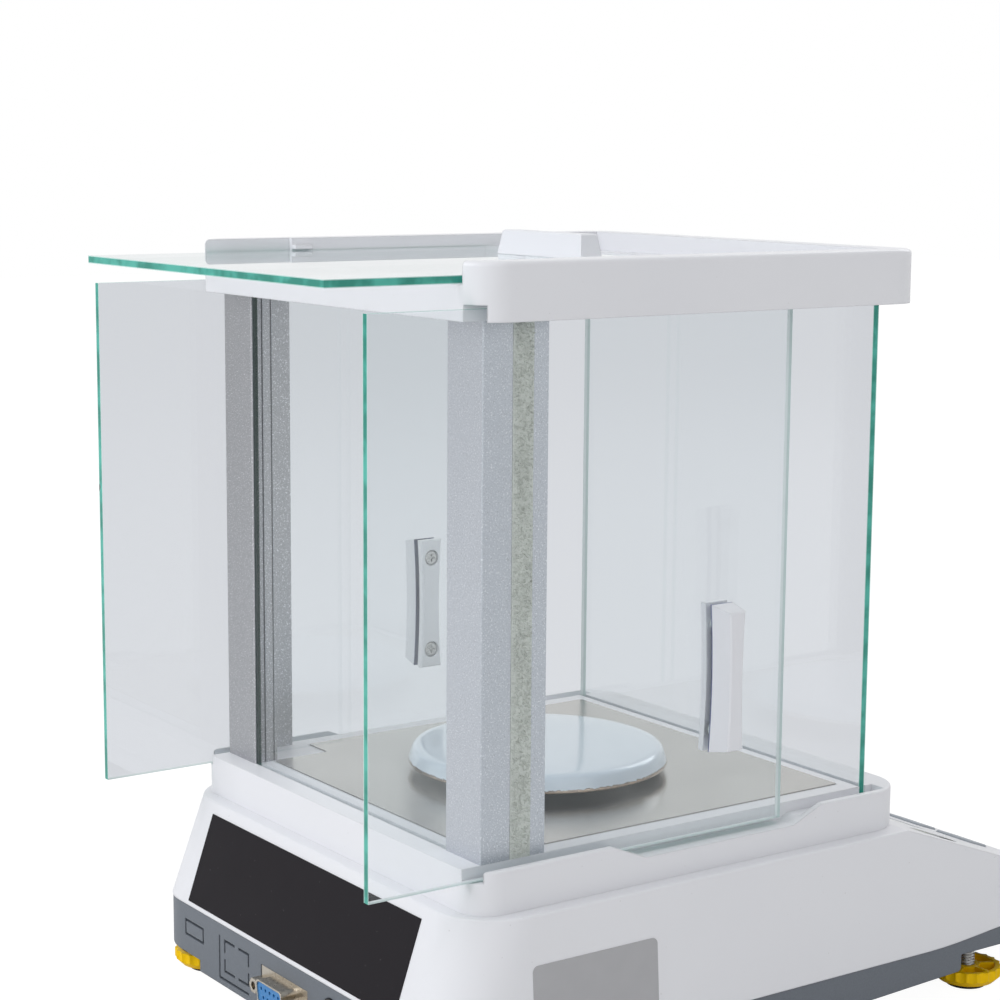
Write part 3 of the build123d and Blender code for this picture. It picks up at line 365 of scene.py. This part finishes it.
# Pale inner edge tones: a painted reflection of the bright surroundings
PALE_PAINTED_REFLECTION = ((0.56, 0.66, 0.65), (0.74, 0.80, 0.80))
pane_finish("left_door_pane", "X", -81.95, 1.25, PALE_PAINTED_REFLECTION).wear("left_door_glass")
pane_finish("right_door_pane", "X", 81.95, 1.25, PALE_PAINTED_REFLECTION,
            (83.2 * MM, 151.4 * MM, 178.9 * MM)).wear("right_door_glass")
pane_finish("front_pane", "Y", -54.15, 1.25, PALE_PAINTED_REFLECTION).wear("front_glass")
# The rear pane's inner edge is painted dark on one half: a painted reflection of the dark pillar
# beside it
pane_finish("rear_pane", "Y", 102.9, 1.0,
            ((0.02, 0.13, 0.105), (0.70, 0.80, 0.82))).wear("rear_glass")
pane_finish("top_pane", "Z", 256.95, 1.25, PALE_PAINTED_REFLECTION).wear("top_door_glass")

# Pieces whose shape is built here
def built_piece(name, shape):
    mesh = bpy.data.meshes.new(name)
    shape.to_mesh(mesh)
    shape.free()
    piece = bpy.data.objects.new(name, mesh)
    bpy.context.scene.collection.objects.link(piece)
    return piece


def turned(name, centre, outline, sides):
    """A closed body turned about the vertical: the outline runs from axis to axis, in mm."""
    shape = bmesh.new()
    rows = []
    for r, z in outline:
        around = range(sides) if r else range(1)
        rows.append([shape.verts.new(((centre[0] + r * cos(2 * pi * k / sides)) * MM,
                                      (centre[1] + r * sin(2 * pi * k / sides)) * MM, z * MM))
                     for k in around])
    for one, two in zip(rows, rows[1:]):
        for k in range(sides):
            j = (k + 1) % sides
            loop = [one[k % len(one)], one[j % len(one)], two[j % len(two)], two[k % len(two)]]
            shape.faces.new(list(dict.fromkeys(loop)))
    bmesh.ops.recalc_face_normals(shape, faces=shape.faces)
    for face in shape.faces:
        face.smooth = True
    return built_piece(name, shape)


# Weighing pan: pale blue protective film, torn a little short of the bare rim, with painted shade
# in a thin band under the torn edge. The outline goes from the top over the rounded shoulder and
# the steep flank to the rim, then under to the hub.
film = Finish("filmed_pan")
height = film.axis("Z")
tooth = film.noise(1.1, 2.0)
torn = height + (tooth - 0.5) * 1.5 * MM
bare = 1.0 - torn.step(84.35 * MM, 84.45 * MM)
# A dark band is painted on the bare rim just below the torn film edge: painted shade under the
# lifted film
shade_under_torn_edge = bare - (1.0 - torn.step(83.95 * MM, 84.05 * MM))
crease = film.noise(16.0, 3.0)
film.surface(film.principled(
    film.blend(shade_under_torn_edge * 0.6, film.blend(
        bare, film.blend(crease, (0.56, 0.64, 0.72), (0.64, 0.71, 0.78)),
        (0.40, 0.32, 0.25)), (0.05, 0.05, 0.06)),
    metallic=bare * 0.9, roughness=0.12 + 0.10 * bare, coat=0.5, coat_roughness=0.05,
    normal=film.bump(crease, 0.05, 0.3)))
PAN_CENTRE = (0.0, 25.5)
PAN_SIDES = 144
PAN_OUTLINE = [
    (0, 89.55), (14, 89.5), (30, 89.35), (40.2, 89.1), (42.2, 88.9), (43.3, 88.4), (43.9, 87.6),
    (44.4, 86.4), (45.2, 84.1), (45.35, 83.7), (45.2, 83.3), (44.3, 83.3), (43.2, 86.8),
    (42.0, 88.0), (8.0, 88.5), (8.0, 76.5), (5.0, 76.5), (4.9, 78.0), (2.7, 84.8), (0, 84.8)]
pan = turned("pan_skin", PAN_CENTRE, PAN_OUTLINE, PAN_SIDES)
film.wear(pan)
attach(pan, "pan")
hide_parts("weighing_pan")


# Plain moulded, plated and printed finishes, each with its own fine texture
def simple(name, low, high, size_mm, depth_mm, roughness, pieces, edges=0.0, **more):
    made = Finish(name)
    texture = made.noise(size_mm, 3.0)
    over = made.soft_edges(edges) if edges else None
    made.surface(made.principled(
        made.blend(texture, low, high), roughness=roughness[0] + roughness[1] * texture,
        normal=made.bump(texture, depth_mm, 0.6, over), **more))
    return made.wear(*pieces)


feet = [f"{end}_{side}" for end in ("front", "rear") for side in ("left", "right")]
keys = [f"key_{name}" for name in ("power", "tare", "calibrate", "units", "print")]
simple("yellow_moulding", (0.93, 0.56, 0.0), (1.0, 0.66, 0.0), 0.8, 0.01, (0.34, 0.10),
       [f"foot_wheel_{name}" for name in feet], edges=0.4, specular=0.15)
zinc = simple("zinc_plate", (0.50, 0.50, 0.49), (0.68, 0.68, 0.68), 0.9, 0.01, (0.22, 0.15),
              ["pillar_screws", "frame_screws", "housing_screws", "load_cell_bolts",
               "left_handle_screws", "right_handle_screws", "top_handle_screws"], metallic=1.0)
simple("moulded_rubber", (0.018, 0.018, 0.019), (0.035, 0.035, 0.036), 0.6, 0.02, (0.7, 0.15),
       [f"foot_pad_{name}" for name in feet])
brass = simple("brass_turned", (0.55, 0.38, 0.14), (0.72, 0.54, 0.25), 0.5, 0.02, (0.25, 0.15),
               ["stud_inserts"], metallic=1.0)
simple("nickel_plate", (0.50, 0.45, 0.38), (0.70, 0.65, 0.57), 1.4, 0.02, (0.20, 0.2),
       ["serial_shell", "serial_jackscrews"], edges=0.2, metallic=1.0)
simple("blue_insulator", (0.03, 0.18, 0.46), (0.05, 0.25, 0.56), 0.7, 0.01, (0.35, 0.1),
       ["serial_insulator"])
simple("black_moulding", (0.012, 0.012, 0.013), (0.026, 0.026, 0.028), 0.6, 0.02, (0.35, 0.15),
       ["level_housing"])
simple("key_moulding", (0.38, 0.41, 0.45), (0.44, 0.47, 0.51), 0.5, 0.012, (0.45, 0.1), keys,
       edges=0.4)
simple("label_film", (0.40, 0.40, 0.415), (0.44, 0.44, 0.455), 8.0, 0.01, (0.34, 0.06),
       ["rating_plate"])
simple("solder_resist", (0.01, 0.09, 0.03), (0.03, 0.18, 0.07), 2.5, 0.03, (0.30, 0.2),
       ["main_board", "display_board"])
simple("display_cell", (0.40, 0.44, 0.40), (0.44, 0.48, 0.44), 12.0, 0.004, (0.15, 0.05),
       ["lcd_module"])

# Power jack: black moulding round a plated pin
JACK_AXIS = (-30.3 * MM, 0.0, 20.9 * MM)
jack = Finish("power_jack")
pin = 1.0 - jack.distance(JACK_AXIS, (1, 0, 1)).step(1.0 * MM, 1.1 * MM)
jack_grain = jack.noise(0.6, 3.0)
jack.surface(jack.principled(
    jack.blend(pin, (0.018, 0.018, 0.020), (0.66, 0.62, 0.55)), metallic=pin,
    roughness=0.35 + 0.15 * jack_grain, normal=jack.bump(jack_grain, 0.02, 0.6)))
jack.wear("dc_jack")

# Black film on the sloping rear face, with tiny pale specks
film_black = Finish("black_rear_film")
speck = film_black.noise(0.9, 1.0).step(0.78, 0.82)
rub = film_black.noise(25.0, 3.0)
film_black.surface(film_black.principled(
    film_black.blend(speck * 0.4, (0.012, 0.010, 0.013), (0.20, 0.19, 0.20)),
    roughness=0.42 + 0.12 * rub, specular=0.12, normal=film_black.bump(rub, 0.02, 0.3)))
film_black.wear("rear_film")

# Clear window of the display
window = Finish("clear_acrylic")
window.surface(window.clear_body((0.95, 0.96, 0.95), (0.95, 0.96, 0.96), 0.02))
window.wear("display_window")

# Bubble level: yellow-green liquid, a black ring and the bubble inside it
LEVEL = (-75.0 * MM, -94.0 * MM, 0.0)
vial = Finish("level_vial")
radius = vial.distance(LEVEL, (1, 1, 0))
ring = 1.0 - abs(radius - 3.1 * MM).step(0.16 * MM, 0.24 * MM)
off = vial.distance((LEVEL[0] + 0.5 * MM, LEVEL[1] + 0.3 * MM, 0.0), (1, 1, 0))
bubble = 1.0 - off.step(2.15 * MM, 2.25 * MM)
rim = 1.0 - abs(off - 2.2 * MM).step(0.10 * MM, 0.22 * MM)
swirl = vial.noise(5.0, 1.0)
liquid = vial.blend(swirl, (0.40, 0.56, 0.10), (0.50, 0.66, 0.16))
vial.surface(vial.principled(
    vial.blend(ring, vial.blend(rim * 0.7, vial.blend(bubble, liquid, (0.66, 0.78, 0.40)),
                                (0.16, 0.24, 0.05)), (0.02, 0.02, 0.02)),
    roughness=0.05, coat=1.0, coat_roughness=0.02,
    normal=vial.bump(bubble * (off * 300.0), 0.4, 0.5)))
vial.wear("level_vial")


# Repeats are grown by Geometry Nodes: a tree with named inputs, made a plain mesh at the end
class Growth:
    def __init__(self, name, **inputs):
        self.name = name
        self.values = inputs
        self.tree = bpy.data.node_groups.new(name, "GeometryNodeTree")
        self.tree.interface.new_socket("Geometry", in_out="OUTPUT",
                                       socket_type="NodeSocketGeometry")
        self.keys = {}
        for key, value in inputs.items():
            kind = "NodeSocketInt" if isinstance(value, int) else "NodeSocketFloat"
            self.keys[key] = self.tree.interface.new_socket(
                key, in_out="INPUT", socket_type=kind).identifier
        self.source = self.tree.nodes.new("NodeGroupInput")
        self.sink = self.tree.nodes.new("NodeGroupOutput")

    def given(self, key):
        return self.source.outputs[key]

    def node(self, kind, settings=None, values=None):
        made = self.tree.nodes.new(kind)
        for key, value in (settings or {}).items():
            setattr(made, key, value)
        for key, value in (values or {}).items():
            for one in value if isinstance(value, list) else [value]:
                if isinstance(one, bpy.types.NodeSocket):
                    self.tree.links.new(one, made.inputs[key])
                else:
                    made.inputs[key].default_value = one
        return made.outputs[0]

    def maths(self, first, second, operation="ADD"):
        return self.node("ShaderNodeMath", {"operation": operation}, {0: first, 1: second})

    def vector(self, x=0.0, y=0.0, z=0.0):
        return self.node("ShaderNodeCombineXYZ", values={0: x, 1: y, 2: z})

    def mesh(self, geometry, finish, body, slot, replaces=()):
        solid = self.node("GeometryNodeRealizeInstances", values={"Geometry": geometry})
        dressed = self.node("GeometryNodeSetMaterial",
                            values={"Geometry": solid, "Material": finish.material})
        self.tree.links.new(dressed, self.sink.inputs["Geometry"])
        carrier = bpy.data.objects.new(self.name, bpy.data.meshes.new(self.name))
        bpy.context.scene.collection.objects.link(carrier)
        modifier = carrier.modifiers.new("growth", "NODES")
        modifier.node_group = self.tree
        for key, value in self.values.items():
            modifier[self.keys[key]] = value
        graph = bpy.context.evaluated_depsgraph_get()
        made = bpy.data.meshes.new_from_object(carrier.evaluated_get(graph))
        carrier.modifiers.remove(modifier)
        carrier.data = made
        finish.wear(carrier)
        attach(carrier, body)
        if replaces:
            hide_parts(*replaces)


# Woven pile that wipes the doors: a backing with short leaning tufts on its outer face
pile = Finish("olive_pile")
tuft = pile.noise(0.5, 3.0)
patch = pile.noise(4.0, 2.0, stretch=(1, 1, 3))
pile.surface(pile.principled(
    pile.blend(tuft * 0.6 + patch * 0.4, (0.44, 0.455, 0.41), (0.96, 0.98, 0.93)),
    roughness=0.92, sheen=0.3, normal=pile.bump(tuft, 0.25, 0.9)))
strip = Growth("pile_tufts", Width=7.6 * MM, Length=165.2 * MM, Backing=1.3 * MM,
               Tuft=0.85 * MM, Thickness=0.17 * MM, Density=2.6e6, Lean=0.5, Seed=7)
sheet = strip.node("GeometryNodeMeshGrid", values={
    "Size X": strip.maths(strip.given("Length"), 0.5 * MM, "SUBTRACT"),
    "Size Y": strip.maths(strip.given("Width"), 0.5 * MM, "SUBTRACT"),
    "Vertices X": 2, "Vertices Y": 2})
spots = strip.node("GeometryNodeDistributePointsOnFaces", values={
    "Mesh": sheet, "Density": strip.given("Density"), "Seed": strip.given("Seed")})
blade = strip.node("GeometryNodeMeshCone", values={
    "Vertices": 3, "Radius Top": 0.03 * MM, "Radius Bottom": strip.given("Thickness"),
    "Depth": strip.given("Tuft")})
lean = strip.maths(strip.given("Lean"), -1.0, "MULTIPLY")
tilt = strip.node("FunctionNodeRandomValue", {"data_type": "FLOAT_VECTOR"}, {
    "Min": strip.vector(lean, lean, -3.1), "Max": strip.vector(
        strip.given("Lean"), strip.given("Lean"), 3.1), "Seed": strip.given("Seed")})
tufts = strip.node("GeometryNodeInstanceOnPoints", values={
    "Points": spots, "Instance": blade, "Rotation": tilt})
backing = strip.node("GeometryNodeMeshCube", values={
    "Size": strip.vector(strip.given("Length"), strip.given("Width"), strip.given("Backing"))})
backing = strip.node("GeometryNodeTransform", values={
    "Geometry": backing,
    "Translation": strip.vector(0.0, 0.0, strip.maths(strip.given("Backing"), -0.5, "MULTIPLY"))})
one_strip = strip.node("GeometryNodeJoinGeometry", values={"Geometry": [backing, tufts]})
PILE_Y, PILE_Z, PILE_X = 89.8 * MM, 162.1 * MM, 79.5 * MM
both_strips = strip.node("GeometryNodeJoinGeometry", values={"Geometry": [
    strip.node("GeometryNodeTransform", values={
        "Geometry": one_strip, "Translation": (side * PILE_X, PILE_Y, PILE_Z),
        "Rotation": (0.0, side * pi / 2, 0.0)})
    for side in (-1, 1)]})
strip.mesh(both_strips, pile, "base", "pile", ["pile_strips"])

# Brass contacts set back in the holes of the serial port
port = Growth("port_contacts", Pitch=2.77 * MM, Radius=0.5 * MM, Depth=2.6 * MM)
contact = port.node("GeometryNodeMeshCylinder", values={
    "Vertices": 10, "Radius": port.given("Radius"), "Depth": port.given("Depth")})
CONTACT_Y = 130.9 * MM
CONTACT_ROWS = ((5, 20.1 * MM), (4, 17.3 * MM))
rows = []
for count, height in CONTACT_ROWS:
    first = port.maths(port.given("Pitch"), -(count - 1) / 2.0, "MULTIPLY")
    line = port.node("GeometryNodeMeshLine", values={
        "Count": count, "Start Location": port.vector(first, CONTACT_Y, height),
        "Offset": port.vector(port.given("Pitch"))})
    rows.append(port.node("GeometryNodeInstanceOnPoints", values={
        "Points": line, "Instance": contact, "Rotation": (pi / 2, 0.0, 0.0)}))
port.mesh(port.node("GeometryNodeJoinGeometry", values={"Geometry": rows}), brass, "base",
          "brass")

# Threaded studs of the feet: a right-hand metric thread of 1 mm pitch, plain inside the wheel
STUD_R, PITCH, SIDES = 3.0, 1.0, 24
THREAD_STEP, THREAD_RINGS, THREAD_DEPTH = 0.25, 84, 0.55
FOOT_X, FOOT_Y = 83.3, {"front": -104.5, "rear": 111.4}


def threaded_stud(name, x, y):
    shape = bmesh.new()
    rows = [(1.9, STUD_R), (7.2, STUD_R)]
    rows += [(7.4 + THREAD_STEP * i, None) for i in range(THREAD_RINGS)]
    rows += [(28.6, 2.45), (34.4, 2.45), (35.0, 1.9)]
    rings = []
    for z, fixed in rows:
        ring = []
        for k in range(SIDES):
            turn = k / SIDES
            phase = (z / PITCH - turn) % 1.0
            r = fixed or STUD_R - THREAD_DEPTH * min(1.0, abs(2.0 * phase - 1.0) * 1.25)
            ring.append(shape.verts.new(((x + r * cos(2 * pi * turn)) * MM,
                                         (y + r * sin(2 * pi * turn)) * MM, z * MM)))
        rings.append(ring)
    for low, high in zip(rings, rings[1:]):
        for k in range(SIDES):
            j = (k + 1) % SIDES
            shape.faces.new((low[k], low[j], high[j], high[k]))
    shape.faces.new(list(reversed(rings[0])))
    shape.faces.new(rings[-1])
    piece = built_piece(f"stud_thread_{name}", shape)
    zinc.wear(piece)
    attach(piece, f"foot_{name}_wheel_body")
    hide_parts(f"foot_stud_{name}")


for name in feet:
    end, side = name.split("_")
    threaded_stud(name, FOOT_X if side == "right" else -FOOT_X, FOOT_Y[end])
